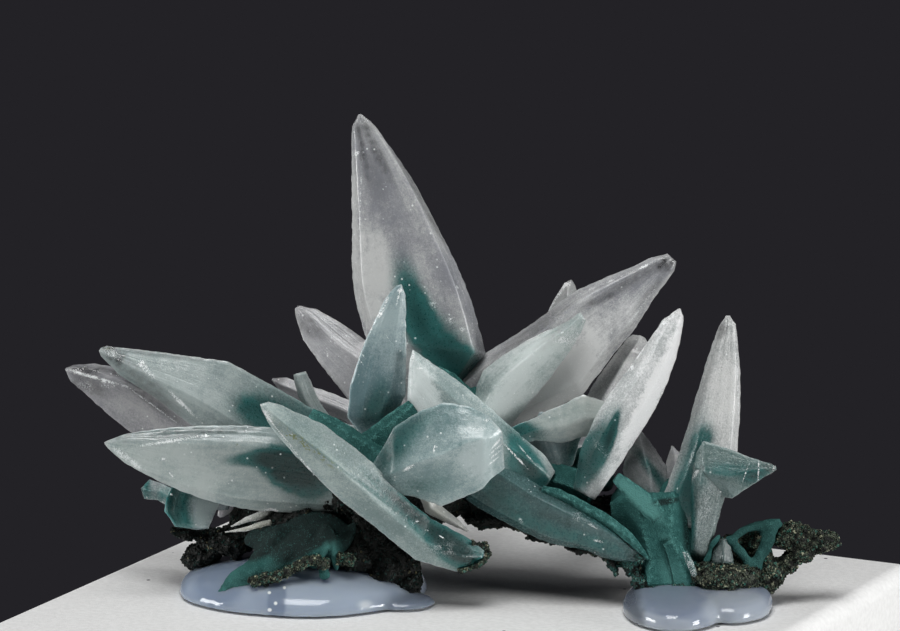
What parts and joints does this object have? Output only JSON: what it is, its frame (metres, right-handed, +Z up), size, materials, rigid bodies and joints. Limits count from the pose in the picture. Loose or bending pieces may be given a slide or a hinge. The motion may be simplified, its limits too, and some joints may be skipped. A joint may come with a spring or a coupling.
{
  "type": "calcite crystal cluster on a display block",
  "caption": "Spray of pale pointed calcite crystals with green inclusions and a dark crust, held on a square white display block by lilac glue mounds.",
  "frame": {"origin": "middle of the display block's underside", "axes": "+Z up, X and Y along the block's sides; the show side is seen from the corner between -Y and +X, turned 27 degrees from -Y"},
  "size_m": [0.1248, 0.122, 0.0992],
  "materials": {
    "block_paint": "matt white with a fine grain",
    "calcite": "translucent, pale grey-green going to teal, with a glassy sheen",
    "dark_druse": "rough, dark olive and green grains",
    "lilac_glue": "glossy, slightly see-through"
  },
  "bodies": {
    "root": {"display_block": "block_paint", "calcite_crystals": "calcite", "matrix_crust": "dark_druse", "glue_mound_left": "lilac_glue", "glue_mound_right": "lilac_glue"}
  },
  "joints": []
}
